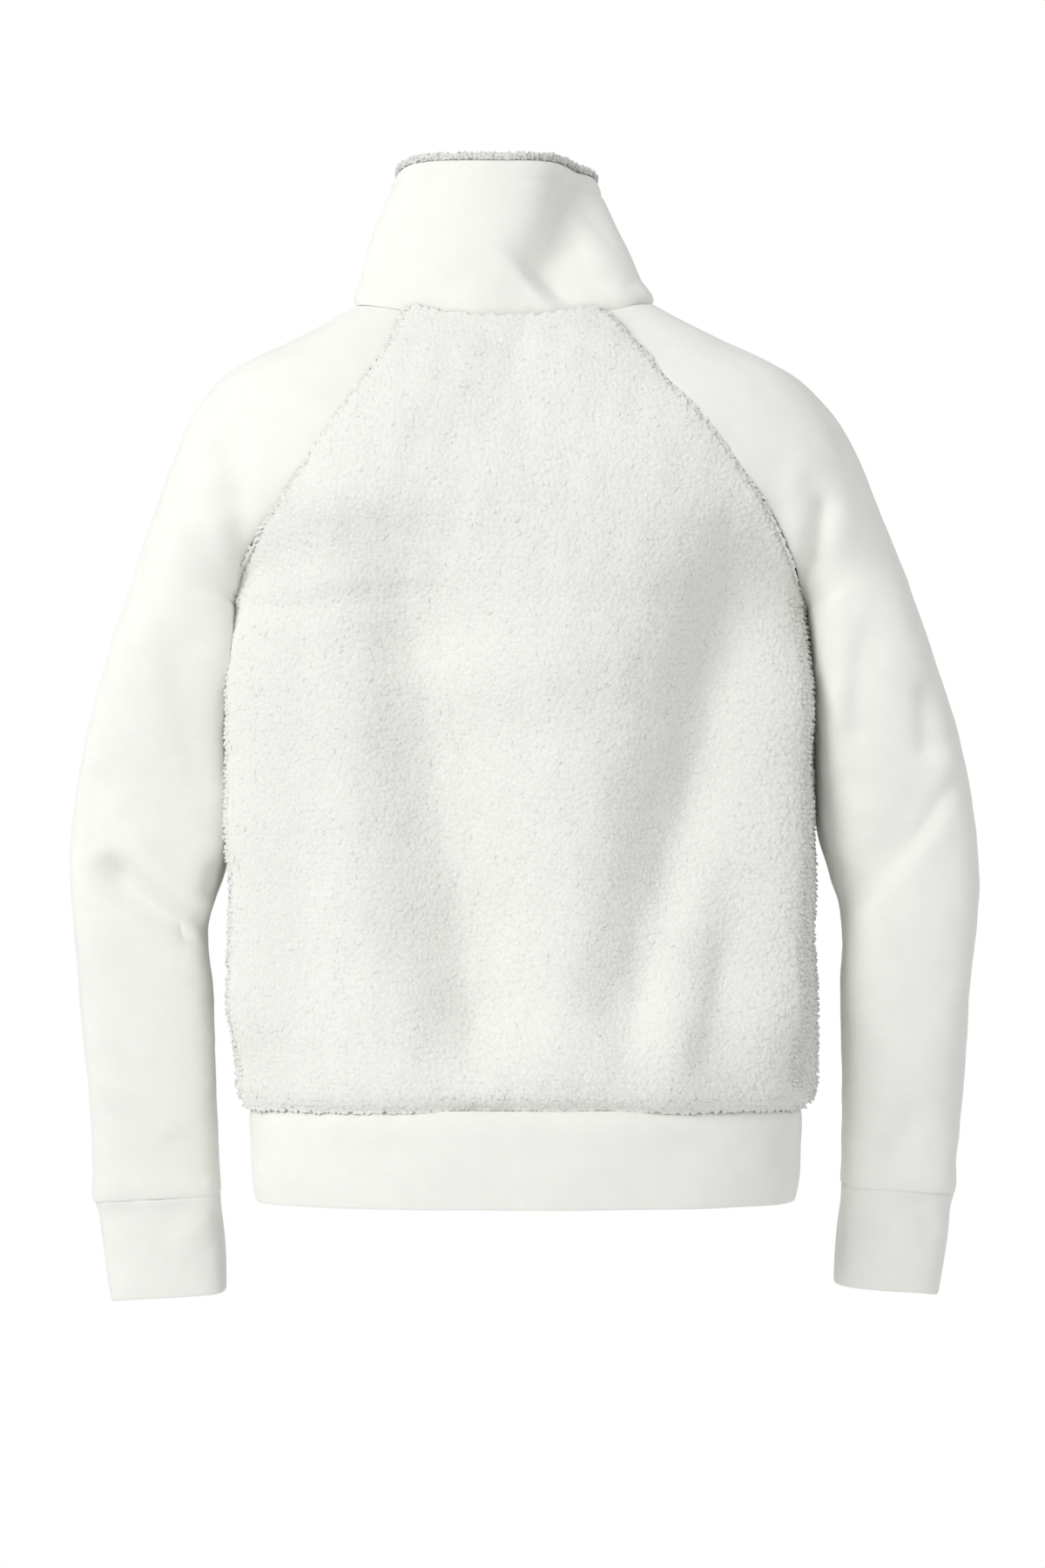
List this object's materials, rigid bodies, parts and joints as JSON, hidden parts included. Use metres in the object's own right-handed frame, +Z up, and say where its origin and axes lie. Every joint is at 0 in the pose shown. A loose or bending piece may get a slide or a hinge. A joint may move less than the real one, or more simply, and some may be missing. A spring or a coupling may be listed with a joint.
{
  "type": "sherpa zip jacket",
  "caption": "Zip-front jacket with sherpa body, smooth raglan sleeves, cuffs and hem band, and a sherpa-lined stand collar, hollow as worn.",
  "frame": {"origin": "between the shoulders at the base of the neck, where a wearer carries the jacket", "axes": "+Z up, -Y out of the chest, +X towards the wearer's left"},
  "size_m": [0.6266, 0.261, 0.7921],
  "materials": {
    "sherpa": "off-white curled sherpa pile",
    "smooth_fleece": "off-white smooth-faced brushed knit",
    "zip_tape": "off-white woven tape",
    "zip_teeth": "off-white nylon",
    "zip_metal": "off-white enamel"
  },
  "bodies": {
    "jacket": {"back": "sherpa", "front_left": "sherpa", "front_right": "sherpa", "sleeve_left": "smooth_fleece", "sleeve_right": "smooth_fleece", "cuff_left": "smooth_fleece", "cuff_right": "smooth_fleece", "hem_band": "smooth_fleece", "collar": "smooth_fleece", "collar_lining": "sherpa", "zip_tape_left": "zip_tape", "zip_tape_right": "zip_tape", "zip_chain": "zip_teeth", "zip_box": "zip_metal", "zip_slider": "zip_metal"},
    "pull": {"zip_pull": "zip_metal"}
  },
  "joints": [
    {"name": "pull_hinge", "type": "hinge", "parent": "jacket", "child": "pull", "pos_m": [0.00339, -0.09224, 0.04359], "axis": [-1, 0, 0], "range_deg": [0, 150]}
  ]
}
